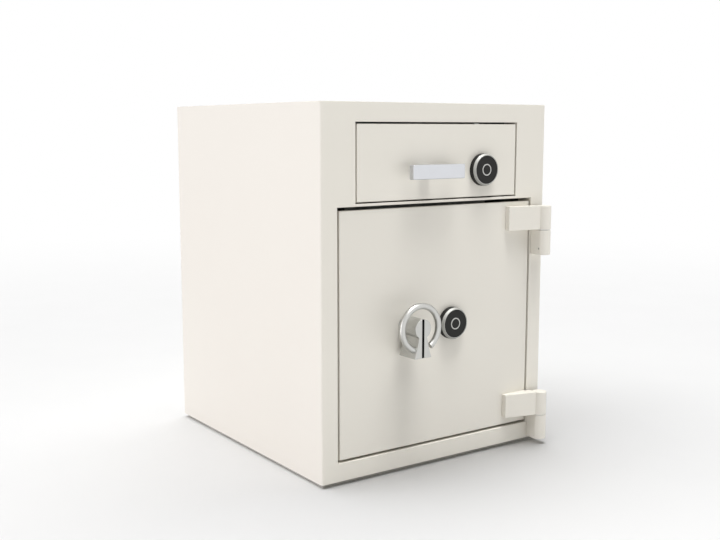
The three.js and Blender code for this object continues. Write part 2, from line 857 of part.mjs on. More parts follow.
// Handle
function keyhole(grow) {
  const headRadius = handleHeadRadius + grow;
  const waist = handleWaist + grow;
  const foot = handleFoot + grow;
  const footDrop = handleFootDrop + grow;
  const waistDrop = Math.sqrt(headRadius ** 2 - waist ** 2);
  const waistAngle = Math.atan2(-waistDrop, waist);
  const bendDrop = (waistDrop + footDrop) / 2;
  const bend = waist + (foot - waist) * handleFlare;
  const outline = new THREE.Shape();
  outline.absarc(handleX, handleZ, headRadius, waistAngle, Math.PI - waistAngle, false);
  outline.quadraticCurveTo(handleX - bend, handleZ - bendDrop, handleX - foot, handleZ - footDrop);
  outline.lineTo(handleX + foot, handleZ - footDrop);
  outline.quadraticCurveTo(handleX + bend, handleZ - bendDrop, handleX + waist, handleZ - waistDrop);
  return outline;
}

const inlayRun = [-handleProjection, -handleProjection + inlayDepth];
const inlayRise = Math.sqrt(handleHeadRadius ** 2 - inlayWidth ** 2 / 4);
const inlayHeights = [handleZ - handleFootDrop, handleZ + inlayRise];
add("handle_block", cut(
  runBack(keyhole(0), [-handleProjection, -handleBack], 14),
  block(
    [handleX - inlayWidth / 2, handleX + inlayWidth / 2],
    [inlayRun[0] - through, inlayRun[1]],
    [inlayHeights[0] - through, inlayHeights[1] + through],
  ),
), satinNickel);
add("handle_inlay", block(
  [handleX - inlayWidth / 2 + fitGap, handleX + inlayWidth / 2 - fitGap],
  [inlayRun[0] + 2 * fitGap, inlayRun[1] - fitGap],
  [inlayHeights[0] + fitGap, inlayHeights[1] - fitGap],
), blackPlastic);

// The ring starts in the block's left flank and ends free, short of its right one
const degree = Math.PI / 180;
const ringStart = 270 - Math.asin(handleWaist / ringRadius) / degree;
const ringEnd = ringFreeEndAngle - 90;
class RingRoute extends THREE.Curve {
  getPoint(t) {
    const angle = (ringStart + (ringEnd - ringStart) * t) * degree;
    return new THREE.Vector3(ringRadius * Math.cos(angle), 0, ringRadius * Math.sin(angle));
  }
}
const ringSection = new THREE.Shape();
ringSection.absarc(0, 0, ringWireRadius, 0, 2 * Math.PI, false);
const ring = new THREE.ExtrudeGeometry(ringSection, {
  steps: 44,
  curveSegments: 14,
  bevelEnabled: false,
  extrudePath: new RingRoute(),
});
ring.translate(handleX, -handleProjection + ringSetback, handleZ);
const ringSeat = runBack(keyhole(fitGap), [-handleProjection - through, -handleBack], 14);
add("handle_ring", cut(ring, ringSeat), satinNickel);

// Shaft through the door, with a crank disc and pin behind it
const crankFront = coverFront + crankSetback;
const crankBack = barRun[0] - crankToBar;
const crankDisc = crankRadius + crankPinRadius + crankRim;
const shaftStart = -handleBack + fitGap;
add("handle_shaft", join(
  rodAlongY(handleShaftRadius, handleX, [shaftStart, crankBack - 1], handleZ),
  rodAlongY(handleCollarRadius, handleX, [shaftStart, doorRecess - fitGap], handleZ),
  rodAlongY(crankDisc, handleX, [crankFront, crankBack], handleZ),
  rodAlongY(crankPinRadius, crankPinX, [crankBack - 1, barRun[1] + crankRim], crankPinHigh, 16),
), zincSteel);

// Hinges: a knuckle welded to the frame and a leaf on the door, on a fixed pin
function addHinge(place, z) {
  const crease = leafCrease * degree;
  const creaseX = hingeAxisX - barrelRadius * Math.cos(crease);
  const leafBottom = z + knuckleHeight + hingeJoint;
  const leafTop = leafBottom + leafHeight;
  const backAngle = leafBackAngle * degree;
  const leafBackX = hingeAxisX - barrelRadius + leafBackSetback;
  const leafStepX = doorFace.right - leafClearance;
  const leaf = new THREE.Shape();
  leaf.moveTo(hingeAxisX - leafReach, doorRecess - fitGap);
  leaf.lineTo(hingeAxisX - leafReach, doorRecess - leafThickness);
  leaf.lineTo(creaseX, hingeAxisY - barrelRadius * Math.sin(crease));
  leaf.absarc(hingeAxisX, hingeAxisY, barrelRadius, Math.PI + crease, 2 * Math.PI + backAngle, false);
  leaf.lineTo(leafBackX, -leafClearance);
  leaf.lineTo(leafStepX, -leafClearance);
  leaf.lineTo(leafStepX, doorRecess - fitGap);
  const bore = hingePinRadius + fitGap;
  const pinTop = leafBottom + hingePinReach;
  const pinBottom = z + knuckleHeight - hingePinReach;
  add(`hinge_leaf_${place}`, cut(
    raise(leaf, [leafBottom, leafTop], 36),
    rodAlongZ(bore, hingeAxisX, hingeAxisY, [leafBottom - through, pinTop + fitGap]),
  ), creamPaint);

  const lean = knuckleLean * degree;
  const flankReach = (barrelRadius - (fitGap + hingeAxisY) * Math.sin(lean)) / Math.cos(lean);
  const knuckle = new THREE.Shape();
  knuckle.moveTo(hingeAxisX - flankReach, -fitGap);
  knuckle.absarc(hingeAxisX, hingeAxisY, barrelRadius, Math.PI + lean, 2 * Math.PI, false);
  knuckle.lineTo(hingeAxisX + barrelRadius, -fitGap);
  let knuckleSolid = cut(
    raise(knuckle, [z, z + knuckleHeight], 24),
    rodAlongZ(bore, hingeAxisX, hingeAxisY, [pinBottom - fitGap, z + knuckleHeight + through]),
  );
  if (place === "upper") {
    const screwHole = [hingeAxisX - barrelRadius - through, hingeAxisX - hingePinRadius];
    const screwZ = z + setScrewHeight;
    knuckleSolid = cut(knuckleSolid, rodAlongX(setScrewRadius + fitGap, screwHole, hingeAxisY, screwZ, 16));
    const screwRun = [hingeAxisX - barrelRadius + setScrewRecess, hingeAxisX - hingePinRadius - 2 * fitGap];
    add("hinge_set_screw", rodAlongX(setScrewRadius, screwRun, hingeAxisY, screwZ, 16), zincSteel);
  }
  add(`hinge_knuckle_${place}`, knuckleSolid, creamPaint);
  add(`hinge_pin_${place}`, join(
    rodAlongZ(hingePinRadius, hingeAxisX, hingeAxisY, [pinBottom, pinTop]),
    rodAlongZ(hingeCollarRadius, hingeAxisX, hingeAxisY, [z + knuckleHeight + fitGap, leafBottom - fitGap]),
  ), zincSteel);
}
addHinge("upper", doorFace.top - upperHingeDrop);
addHinge("lower", shellBottom + lowerHingeRise);

safe.position.set(-bodyWidth / 2, -bodyDepth / 2, 0);

export default safe;
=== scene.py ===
"""A free-standing drop safe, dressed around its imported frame."""

import math

import bmesh
import bpy
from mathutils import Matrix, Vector


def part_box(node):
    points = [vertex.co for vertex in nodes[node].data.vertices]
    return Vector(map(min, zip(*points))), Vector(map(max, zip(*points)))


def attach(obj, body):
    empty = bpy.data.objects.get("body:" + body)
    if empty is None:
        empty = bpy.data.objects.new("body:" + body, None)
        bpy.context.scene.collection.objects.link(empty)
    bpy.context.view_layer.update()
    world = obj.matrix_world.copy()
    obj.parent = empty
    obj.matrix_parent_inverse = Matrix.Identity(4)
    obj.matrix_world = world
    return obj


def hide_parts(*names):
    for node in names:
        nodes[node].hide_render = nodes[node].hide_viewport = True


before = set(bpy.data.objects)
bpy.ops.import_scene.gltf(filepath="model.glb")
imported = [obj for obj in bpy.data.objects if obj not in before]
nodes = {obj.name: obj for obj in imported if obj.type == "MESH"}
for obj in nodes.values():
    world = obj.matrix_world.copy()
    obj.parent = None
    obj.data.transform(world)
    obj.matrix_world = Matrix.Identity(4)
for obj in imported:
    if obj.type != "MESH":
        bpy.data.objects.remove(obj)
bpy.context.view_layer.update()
bpy.ops.object.select_all(action="DESELECT")

# Cabinet skin: 3 mm steel sheet, folded and welded, with the openings for the drawer
# and the door cut in its front. The upright front corners are bent, the other edges are
# ground round, and the whole outside is powder-coated cream.


class Wire:
    """A socket in a node tree, so that shader sums read as plain arithmetic."""

    def __init__(self, recipe, socket):
        self.recipe = recipe
        self.socket = socket

    def work(self, operation, first, second):
        return self.recipe.node("Math", {"operation": operation}, {0: first, 1: second})

    def __add__(self, other):
        return self.work("ADD", self, other)

    def __radd__(self, other):
        return self.work("ADD", other, self)

    def __mul__(self, other):
        return self.work("MULTIPLY", self, other)

    def __rmul__(self, other):
        return self.work("MULTIPLY", other, self)


class Recipe:
    """A node tree that is built by adding nodes, each with its settings and its inputs."""

    def __init__(self, tree):
        self.tree = tree
        self.tree.nodes.clear()

    def node(self, kind, settings=None, values=None, out=0):
        node = self.tree.nodes.new("ShaderNode" + kind)
        for name, value in (settings or {}).items():
            setattr(node, name, value)
        for name, value in (values or {}).items():
            if isinstance(value, Wire):
                self.tree.links.new(value.socket, node.inputs[name])
            else:
                node.inputs[name].default_value = value
        return Wire(self, node.outputs[out]) if node.outputs else None

    def place(self, stretch=(1, 1, 1)):
        """Object coordinates, stretched along the row axes to draw a pattern out."""
        spot = self.node("TexCoord", out="Object")
        return self.node("Mapping", values={"Vector": spot, "Scale": stretch})

    def noise(self, scale, detail=2.0, stretch=(1, 1, 1)):
        return self.node("TexNoise", values={
            "Vector": self.place(stretch), "Scale": scale, "Detail": detail, "Roughness": 0.5,
        })

    def mix(self, factor, first, second):
        return self.node("Mix", {"data_type": "RGBA"}, {0: factor, 6: first, 7: second}, out=2)

    def bump(self, height, distance, strength=1.0):
        return self.node("Bump", values={"Height": height, "Distance": distance, "Strength": strength})


def new_material(name, mix_up):
    """A Principled material whose inputs come from a function of its recipe."""
    material = bpy.data.materials.new(name)
    material.use_nodes = True
    recipe = Recipe(material.node_tree)
    shader = recipe.node("BsdfPrincipled", values=mix_up(recipe))
    recipe.node("OutputMaterial", values={"Surface": shader})
    return material


def powder_coat(recipe, low=(0.81, 0.775, 0.70, 1), high=(0.84, 0.81, 0.735, 1)):
    cloud = recipe.noise(2.2, 3.0)
    peel = recipe.noise(420, 1.5)
    return {
        "Base Color": recipe.mix(cloud, low, high),
        "Roughness": 0.36 + 0.1 * recipe.noise(160),
        "Normal": recipe.bump(peel, 0.00004, 0.5),
    }


cream = new_material("cream_powder_coat", powder_coat)


def coat(piece, material):
    """Give a piece one material all over."""
    piece.data.materials.clear()
    piece.data.materials.append(material)


def hand_over(piece, body, slot, material, *stands_for):
    """Coat a finished piece, and tell the frame what carries it and what it stands for."""
    coat(piece, material)
    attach(piece, body)
    if stands_for:
        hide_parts(*stands_for)


def block(name, low, high):
    """A cube primitive between its lowest and highest corners."""
    low, high = Vector(low), Vector(high)
    bpy.ops.object.select_all(action="DESELECT")
    bpy.ops.mesh.primitive_cube_add(size=1, location=(low + high) / 2, scale=high - low)
    bpy.ops.object.transform_apply(location=True, rotation=True, scale=True)
    bpy.context.object.name = name
    return bpy.context.object


def middle(edge):
    return (edge.verts[0].co + edge.verts[1].co) / 2


def pick(piece, kind, test):
    """Enter edit mode with only the faces or edges selected that pass a test."""
    bpy.context.view_layer.objects.active = piece
    bpy.ops.object.mode_set(mode="EDIT")
    bpy.ops.mesh.select_mode(type=kind)
    bpy.ops.mesh.select_all(action="DESELECT")
    mesh = bmesh.from_edit_mesh(piece.data)
    mesh.normal_update()
    for part in mesh.faces if kind == "FACE" else mesh.edges:
        if test(part):
            part.select_set(True)
    bmesh.update_edit_mesh(piece.data)


def leave():
    bpy.ops.object.mode_set(mode="OBJECT")


def apply(piece, kind, **settings):
    """Put a modifier on a piece and apply it."""
    bpy.context.view_layer.objects.active = piece
    modifier = piece.modifiers.new(kind.title(), kind)
    for name, value in settings.items():
        setattr(modifier, name, value)
    bpy.ops.object.modifier_apply(modifier=modifier.name)


def round_edges(piece, width, segments=3, sharp=35, where=None):
    """Round the edges that point outwards, or those of them whose middle passes a test."""

    def chosen(edge):
        if len(edge.link_faces) != 2 or edge.calc_face_angle_signed() < math.radians(sharp):
            return False
        return where is None or where(middle(edge))

    pick(piece, "EDGE", chosen)
    bpy.ops.mesh.bevel(offset=width, segments=segments, affect="EDGES", clamp_overlap=True)
    leave()


def smooth(piece, angle=40):
    """Shade a piece smooth up to an angle, with its large faces kept flat."""
    bpy.ops.object.select_all(action="DESELECT")
    piece.select_set(True)
    bpy.context.view_layer.objects.active = piece
    bpy.ops.object.shade_smooth_by_angle(angle=math.radians(angle))
    apply(piece, "WEIGHTED_NORMAL", keep_sharp=True)


fit_gap = 0.0003
skin_thickness = 0.003
skin_bend = 0.005
skin_edge = 0.0012
near = 0.001
squarely = 0.999
sill_low, sill_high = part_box("frame_sill")
header_low, header_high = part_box("frame_header")
floor_low, floor_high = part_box("bay_floor")
skin_low, skin_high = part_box("outer_shell")
front = skin_low.y
door_opening = (sill_low.x - fit_gap, sill_high.x + fit_gap, sill_high.z, floor_low.z)
drawer_opening = (header_low.x - fit_gap, header_high.x + fit_gap, floor_high.z, header_low.z)

skin = block("cabinet_skin", skin_low, skin_high)
pick(skin, "FACE", lambda face: face.normal.y > squarely)
bpy.ops.mesh.delete(type="FACE")
leave()
pick(skin, "EDGE", lambda edge: (
    abs(middle(edge).y - front) < near and abs(edge.verts[0].co.z - edge.verts[1].co.z) > near
))
bpy.ops.mesh.bevel(offset=skin_bend, segments=6, affect="EDGES")
leave()
for left, right, bottom, top in (door_opening, drawer_opening):
    for point, normal in (
        ((left, 0, 0), (1, 0, 0)), ((right, 0, 0), (1, 0, 0)),
        ((0, 0, bottom), (0, 0, 1)), ((0, 0, top), (0, 0, 1)),
    ):
        pick(skin, "FACE", lambda face: face.normal.y < -squarely)
        bpy.ops.mesh.bisect(plane_co=point, plane_no=normal)
        leave()


def in_opening(face):
    spot = face.calc_center_median()
    return face.normal.y < -squarely and any(
        left < spot.x < right and bottom < spot.z < top
        for left, right, bottom, top in (door_opening, drawer_opening)
    )


pick(skin, "FACE", in_opening)
bpy.ops.mesh.delete(type="FACE")
leave()
apply(skin, "SOLIDIFY", thickness=skin_thickness, offset=-1, use_even_offset=True)
round_edges(skin, skin_edge, where=lambda spot: spot.y < 0 or spot.z > skin_high.z - near)
smooth(skin)
hand_over(skin, "cabinet", "cream_paint", cream, "outer_shell")

# Back plate and base plate: flat steel plates, the back one let in flush and welded all
# round, the base one set back so that it shows as a thin shadowed line at the floor.


def plate(name, node, width, segments=3):
    """A flat plate in a node's place, with its edges ground round."""
    piece = block(name, *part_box(node))
    round_edges(piece, width, segments)
    smooth(piece)
    return piece


def stone_primer(recipe):
    return {
        "Base Color": recipe.mix(recipe.noise(14), (0.36, 0.35, 0.32, 1), (0.43, 0.42, 0.385, 1)),
        "Roughness": 0.6 + 0.15 * recipe.noise(90),
        "Normal": recipe.bump(recipe.noise(600), 0.00003),
    }


primer = new_material("stone_primer", stone_primer)
panel_edge = 0.001
foot_edge = 0.0008
rear_panel = plate("rear_panel", "back_plate", panel_edge)
hand_over(rear_panel, "cabinet", "cream_paint", cream, "back_plate")
foot_plate = plate("foot_plate", "base_plate", foot_edge)
hand_over(foot_plate, "cabinet", "grey_paint", primer, "base_plate")

# Frame bars behind the front face: solid steel, welded in and painted with the skin.
# They stay as the frame has them, and only their finish is made here.
for name in ("frame_left", "frame_right", "frame_sill", "frame_header"):
    coat(nodes[name], cream)

# Barrier: precast concrete slabs between the skin and the liner. They are grey and
# rough, with sand, small voids and darker damp patches.


def concrete(recipe):
    sand = recipe.noise(900, 4.0)
    patches = recipe.noise(9, 4.0)
    pits = recipe.node("TexVoronoi", values={"Vector": recipe.place(), "Scale": 160})
    tone = recipe.mix(patches, (0.28, 0.27, 0.25, 1), (0.47, 0.455, 0.42, 1))
    return {
        "Base Color": recipe.mix(0.35 * sand, tone, (0.62, 0.6, 0.56, 1)),
        "Roughness": 0.85 + 0.1 * sand,
        "Normal": recipe.bump(0.5 * sand + pits, 0.0006, 0.6),
    }


barrier = new_material("cast_concrete", concrete)
for side in ("bottom", "top", "left", "right", "back"):
    coat(nodes["barrier_" + side], barrier)

# Liner, drawer bay and chute: 2 to 5 mm steel sheet, folded, welded and sprayed light
# grey, a little rougher than the outside. The bay's floor shows, so it is cream.


def grey_spray(recipe):
    cloud = recipe.noise(5, 3.0)
    return {
        "Base Color": recipe.mix(cloud, (0.40, 0.41, 0.40, 1), (0.46, 0.47, 0.455, 1)),
        "Roughness": 0.48 + 0.14 * recipe.noise(120),
        "Normal": recipe.bump(recipe.noise(800), 0.00003, 0.7),
    }


grey = new_material("grey_spray", grey_spray)
coat(nodes["bay_floor"], cream)
for name in ("inner_liner", "bay_side_left", "bay_side_right", "drop_chute"):
    coat(nodes[name], grey)

# Drawer slides: three nested steel channels on each side, cold-rolled and zinc-plated,
# bright with a faint rolling grain along their length.


def zinc_plate(recipe):
    grain = recipe.noise(500, 2.0, (1, 0.04, 1))
    bloom = recipe.noise(18, 3.0)
    return {
        "Base Color": recipe.mix(bloom, (0.52, 0.54, 0.56, 1), (0.62, 0.62, 0.60, 1)),
        "Metallic": 1.0,
        "Roughness": 0.24 + 0.16 * grain,
        "Normal": recipe.bump(grain, 0.00002, 0.5),
    }


zinc = new_material("zinc_plate", zinc_plate)
for side in ("left", "right"):
    for stage in ("outer", "middle", "inner"):
        coat(nodes[f"slide_{stage}_{side}"], zinc)

# Drawer front: an 11 mm steel plate with its edges milled round, powder-coated like the
# cabinet. The dial's base covers its bore.
plate_edge = 0.0015
fascia = plate("drawer_fascia", "drawer_front", plate_edge)
hand_over(fascia, "drawer", "cream_paint", cream, "drawer_front")

# Tray, trap flap and the drawer's lock: the tray is grey sheet, the rest is plated.
coat(nodes["drawer_tray"], grey)
for name in ("trap_flap", "flap_pin", "flap_spring", "drawer_lock_case", "drawer_lock_bolt"):
    coat(nodes[name], zinc)

# Drawer pull: a flat bar on one round post, cast in one piece, polished and plated. Its
# arrises are broken by hand, so they catch the light.


def bright_plate(recipe):
    grain = recipe.noise(300)
    return {
        "Base Color": recipe.mix(recipe.noise(40), (0.565, 0.575, 0.6, 1), (0.6, 0.61, 0.635, 1)),
        "Metallic": 1.0,
        "Roughness": 0.3 + 0.1 * grain,
        "Normal": recipe.bump(grain, 0.00001, 0.4),
    }


def rod(name, radius, start, end, sides=64):
    """A cylinder primitive from one point to another along one of the row axes."""
    start, end = Vector(start), Vector(end)
    along = end - start
    bpy.ops.object.select_all(action="DESELECT")
    bpy.ops.mesh.primitive_cylinder_add(
        vertices=sides, radius=radius, depth=along.length, location=(start + end) / 2,
        rotation=along.to_track_quat("Z", "Y").to_euler(),
    )
    bpy.ops.object.transform_apply(location=True, rotation=True, scale=True)
    bpy.context.object.name = name
    return bpy.context.object


def fuse(piece, other):
    apply(piece, "BOOLEAN", operation="UNION", object=other, solver="EXACT")
    bpy.data.objects.remove(other)


def carve(piece, cutter):
    apply(piece, "BOOLEAN", operation="DIFFERENCE", object=cutter, solver="EXACT")
    bpy.data.objects.remove(cutter)


pull_thickness = 0.0157
pull_post_radius = 0.014
pull_post_offset = -0.0125
pull_edge = 0.0022
post_overlap = 0.003
pull_low, pull_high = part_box("pull_bar")
pull_middle = (pull_low + pull_high) / 2
pull_back = pull_low.y + pull_thickness
pull = block("drawer_pull", pull_low, (pull_high.x, pull_back, pull_high.z))
round_edges(pull, pull_edge, 4)
post_x = pull_middle.x + pull_post_offset
post_start = (post_x, pull_back - post_overlap, pull_middle.z)
post_end = (post_x, pull_high.y, pull_middle.z)
fuse(pull, rod("pull_post", pull_post_radius, post_start, post_end))
smooth(pull)
hand_over(pull, "drawer", "bright_chrome", new_material("bright_plate", bright_plate), "pull_bar")

# Lock dials: a black moulded base that stays put, and a turning knob with a bright
# bevelled bezel round a satin black face, which has a thin bright ring let into it.


def black_moulding(recipe):
    return {
        "Base Color": recipe.mix(recipe.noise(60), (0.010, 0.010, 0.009, 1), (0.015, 0.014, 0.013, 1)),
        "Specular IOR Level": 0.25,
        "Roughness": 0.5 + 0.12 * recipe.noise(700),
        "Normal": recipe.bump(recipe.noise(1800), 0.00002, 0.6),
    }


def satin_plate(recipe, polish=0.42, shade=0.485):
    grain = recipe.noise(1400, 2.0)
    return {
        "Base Color": recipe.mix(
            recipe.noise(30), (shade, shade, shade - 0.02, 1), (shade + 0.05, shade + 0.05, shade + 0.03, 1),
        ),
        "Metallic": 1.0,
        "Roughness": polish + 0.1 * grain,
        "Normal": recipe.bump(grain, 0.00001, 0.5),
    }


black = new_material("black_moulding", black_moulding)
nickel = new_material("satin_nickel_plate", satin_plate)
rim_plate = new_material("dull_nickel_plate", lambda recipe: satin_plate(recipe, 0.55, 0.4))
weld_gap = 0.00002


def start_outline(name, corner):
    """A mesh of one point, in edit mode, that an outline is drawn from."""
    bpy.ops.object.select_all(action="DESELECT")
    bpy.ops.mesh.primitive_plane_add(size=0.001, location=corner)
    bpy.ops.object.transform_apply(location=True, rotation=True, scale=True)
    piece = bpy.context.object
    piece.name = name
    bpy.ops.object.mode_set(mode="EDIT")
    bpy.ops.mesh.select_mode(type="VERT")
    bpy.ops.mesh.select_all(action="SELECT")
    bpy.ops.mesh.merge(type="CENTER")
    return piece


def line_by(step):
    bpy.ops.mesh.extrude_vertices_move(TRANSFORM_OT_translate={"value": step})


def line_through(points):
    """Draw straight lines on from the first point through the others."""
    for here, there in zip(points, points[1:]):
        line_by(Vector(there) - Vector(here))


def arc_about(centre, axis, degrees, steps):
    """Draw an arc on from the last point, right-handed about the axis."""
    bpy.ops.mesh.spin(steps=steps, angle=-math.radians(degrees), center=centre, axis=axis)


def turned(name, x, z, profile, steps=96):
    """A closed profile of (radius, y) points, spun about an axis that runs along Y."""
    points = [(x + radius, y, z) for radius, y in profile]
    piece = start_outline(name, points[0])
    line_through(points)
    bpy.ops.mesh.select_all(action="SELECT")
    bpy.ops.mesh.spin(steps=steps, angle=math.tau, center=(x, 0, z), axis=(0, 1, 0))
    bpy.ops.mesh.select_all(action="SELECT")
    bpy.ops.mesh.remove_doubles(threshold=weld_gap)
    bpy.ops.mesh.normals_make_consistent(inside=False)
    leave()
    smooth(piece, 32)
    return piece


arris = 0.0008
ring_width = 0.0023


def dress_dial(owner, parent, turning):
    """Base, bezel, face and ring of one dial, made in the places of its nodes."""
    base_low, base_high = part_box(owner + "_dial_base")
    bezel_low, bezel_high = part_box(owner + "_dial_bezel")
    knob_low, knob_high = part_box(owner + "_dial_knob")
    ring_low, ring_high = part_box(owner + "_dial_ring")
    x = (base_low.x + base_high.x) / 2
    z = (base_low.z + base_high.z) / 2
    radius = (base_high.x - base_low.x) / 2
    bore = 0.0046
    base = turned(owner + "_dial_foot", x, z, [
        (bore, base_high.y), (bore, base_low.y), (radius - 2 * arris, base_low.y),
        (radius - arris, base_low.y + 0.25 * arris), (radius, base_low.y + arris),
        (radius, base_high.y), (bore, base_high.y),
    ])
    hand_over(base, parent, "black_plastic", black, owner + "_dial_base")

    outer = (bezel_high.x - bezel_low.x) / 2
    face = (knob_high.x - knob_low.x) / 2
    inner = face + fit_gap
    land = 0.0012
    bezel = turned(owner + "_dial_rim", x, z, [
        (inner, bezel_high.y), (inner, bezel_low.y + 0.3 * arris), (inner + 0.3 * arris, bezel_low.y),
        (inner + land, bezel_low.y), (inner + land + 0.5 * arris, bezel_low.y + 0.3 * arris),
        (outer - 0.4 * arris, bezel_high.y - land - 0.6 * arris), (outer, bezel_high.y - land),
        (outer, bezel_high.y - 0.4 * arris), (outer - 0.4 * arris, bezel_high.y), (inner, bezel_high.y),
    ])
    hand_over(bezel, turning, "satin_nickel", rim_plate, owner + "_dial_bezel")

    ring_outer = (ring_high.x - ring_low.x) / 2
    ring_inner = ring_outer - ring_width
    groove = ring_high.y + fit_gap
    shaft = 0.004
    knob = turned(owner + "_dial_face", x, z, [
        (0, knob_low.y), (ring_inner - fit_gap, knob_low.y), (ring_inner - fit_gap, groove),
        (ring_outer + fit_gap, groove), (ring_outer + fit_gap, knob_low.y),
        (face - arris, knob_low.y), (face - 0.3 * arris, knob_low.y + 0.3 * arris),
        (face, knob_low.y + arris), (face, bezel_high.y), (shaft, bezel_high.y),
        (shaft, knob_high.y), (0, knob_high.y),
    ])
    hand_over(knob, turning, "black_plastic", black, owner + "_dial_knob")
    half = (ring_inner + ring_outer) / 2
    ring = turned(owner + "_dial_inlay", x, z, [
        (ring_inner, ring_high.y), (ring_inner, ring_low.y + 0.4 * arris),
        (ring_inner + 0.5 * arris, ring_low.y + 0.1 * arris),
        (half, ring_low.y), (ring_outer - 0.5 * arris, ring_low.y + 0.1 * arris),
        (ring_outer, ring_low.y + 0.4 * arris), (ring_outer, ring_high.y), (ring_inner, ring_high.y),
    ], 72)
    hand_over(ring, turning, "satin_nickel", nickel, owner + "_dial_ring")


dress_dial("drawer", "drawer", "drawer_dial")
dress_dial("door", "door", "door_dial")

# Door: a 10 mm steel plate in front and a welded steel case behind it, which holds the
# concrete block. Both are coated in the cabinet's cream made a little darker, as painted shade.
# Painted shade: a copy of the cabinet's cream, about 3 per cent darker, over the whole door.
door_cream_painted_shade = new_material("door_coat_painted_shade", lambda recipe: powder_coat(
    recipe, (0.785, 0.752, 0.681, 1), (0.815, 0.785, 0.713, 1),
))
hand_over(plate("door_face", "door_plate", plate_edge), "door", "cream_paint", door_cream_painted_shade, "door_plate")
case_edge = 0.0025
door_case = plate("door_case", "door_barrier", case_edge)
hand_over(door_case, "door", "cream_paint", door_cream_painted_shade, "door_barrier")

# Boltwork cover: a folded grey sheet pan on the back of the door, with a raised middle
# and pan-head screws round its border. The bolts slide in holes in its left side.
border = 0.024
panel_rise = 0.0015
panel_slope = 0.003
cover_sheet = 0.002
cover_bend = 0.004
bolt_hole_radius = 0.0114
beyond = 0.01
cover_low, cover_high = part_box("door_cover")
cover = block("bolt_cover", cover_low, cover_high - Vector((0, panel_rise, 0)))
round_edges(cover, cover_bend, 4, where=lambda spot: spot.y > cover_low.y + near)
pick(cover, "FACE", lambda face: face.normal.y > squarely and face.calc_area() > 0.1)
bpy.ops.mesh.inset(thickness=border, depth=0)
bpy.ops.mesh.inset(thickness=panel_slope, depth=panel_rise)
leave()
inside = Vector((cover_sheet, 0, cover_sheet))
hollow_back = Vector((0, panel_rise + cover_sheet, 0))
carve(cover, block(
    "hollow", cover_low + inside - Vector((0, beyond, 0)), cover_high - inside - hollow_back,
))
bolt_boxes = [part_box("door_bolt_" + level) for level in ("lower", "middle", "upper")]
for low, high in bolt_boxes:
    centre = (low + high) / 2
    hole_start = (low.x - beyond, centre.y, centre.z)
    hole_end = (low.x + 2 * beyond, centre.y, centre.z)
    carve(cover, rod("bolt_hole", bolt_hole_radius, hole_start, hole_end, 48))
smooth(cover, 30)
hand_over(cover, "door", "grey_paint", grey, "door_cover")


def pan_screw(name, x, y, z):
    """A screw head with a cross recess, seated on a face at y and pointing along +Y."""
    radius = 0.0042
    height = 0.0014
    recess_width = 0.001
    head = turned(name, x, z, [
        (0, y), (0, y + height), (0.5 * radius, y + 0.95 * height), (0.85 * radius, y + 0.65 * height),
        (radius, y + 0.2 * height), (radius, y), (0, y),
    ], 28)
    arm = 0.55 * radius
    slot = recess_width / 2
    floor = y + 0.4 * height
    recess = block("recess", (x - arm, floor, z - slot), (x + arm, y + 2 * height, z + slot))
    fuse(recess, block("recess_arm", (x - slot, floor, z - arm), (x + slot, y + 2 * height, z + arm)))
    carve(head, recess)
    smooth(head, 30)
    return head


screw_y = cover_high.y - panel_rise
screw_columns = (cover_low.x + border / 2, (cover_low.x + cover_high.x) / 2, cover_high.x - border / 2)
screw_rows = (cover_low.z + border / 2, (cover_low.z + cover_high.z) / 2, cover_high.z - border / 2)
for i, x in enumerate(screw_columns):
    for j, z in enumerate(screw_rows):
        if (i, j) != (1, 1):
            hand_over(pan_screw(f"cover_screw_{i}{j}", x, screw_y, z), "door", "zinc_steel", zinc)

# Boltwork: round bolts of plated bar with their noses turned round, and a dog bar on the
# hinge side, sawn from flat bar. The lock, crank and bolt bar sit inside the cover.
nose_radius = 0.002
for level, (low, high) in zip(("lower", "middle", "upper"), bolt_boxes):
    centre = (low + high) / 2
    radius = (high.z - low.z) / 2
    bolt = rod("side_bolt_" + level, radius, (low.x, centre.y, centre.z), (high.x, centre.y, centre.z))
    round_edges(bolt, nose_radius, 4)
    smooth(bolt, 30)
    hand_over(bolt, "boltwork", "zinc_steel", zinc, "door_bolt_" + level)
dog = plate("hinge_side_dog", "dog_bar", nose_radius)
hand_over(dog, "door", "zinc_steel", zinc, "dog_bar")
for name in ("door_lock_case", "door_lock_bolt", "bolt_bar", "handle_shaft"):
    coat(nodes[name], zinc)

# Door handle: a keyhole-shaped block of satin nickel with a black strip let into its
# front, and an open ring that is brazed into its left flank.
handle_low, handle_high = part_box("handle_block")
head_radius = 0.021
waist = 0.0107
foot = (handle_high.x - handle_low.x) / 2
flare = 0.3
handle_x = (handle_low.x + handle_high.x) / 2
handle_z = handle_high.z - head_radius
foot_drop = handle_z - handle_low.z
waist_drop = math.sqrt(head_radius ** 2 - waist ** 2)
waist_angle = math.degrees(math.atan2(waist_drop, waist))
slot_width = 0.006
slot_depth = 0.004
block_edge = 0.0008


def flank(side, steps=8):
    """Points down the hollow side of the leg, from the waist to the foot."""
    points = []
    bend_drop = (waist_drop + foot_drop) / 2
    bend = waist + (foot - waist) * flare
    for i in range(1, steps + 1):
        t = i / steps
        across = (1 - t) ** 2 * waist + 2 * t * (1 - t) * bend + t ** 2 * foot
        down = (1 - t) ** 2 * waist_drop + 2 * t * (1 - t) * bend_drop + t ** 2 * foot_drop
        points.append((handle_x + side * across, handle_low.y, handle_z - down))
    return points


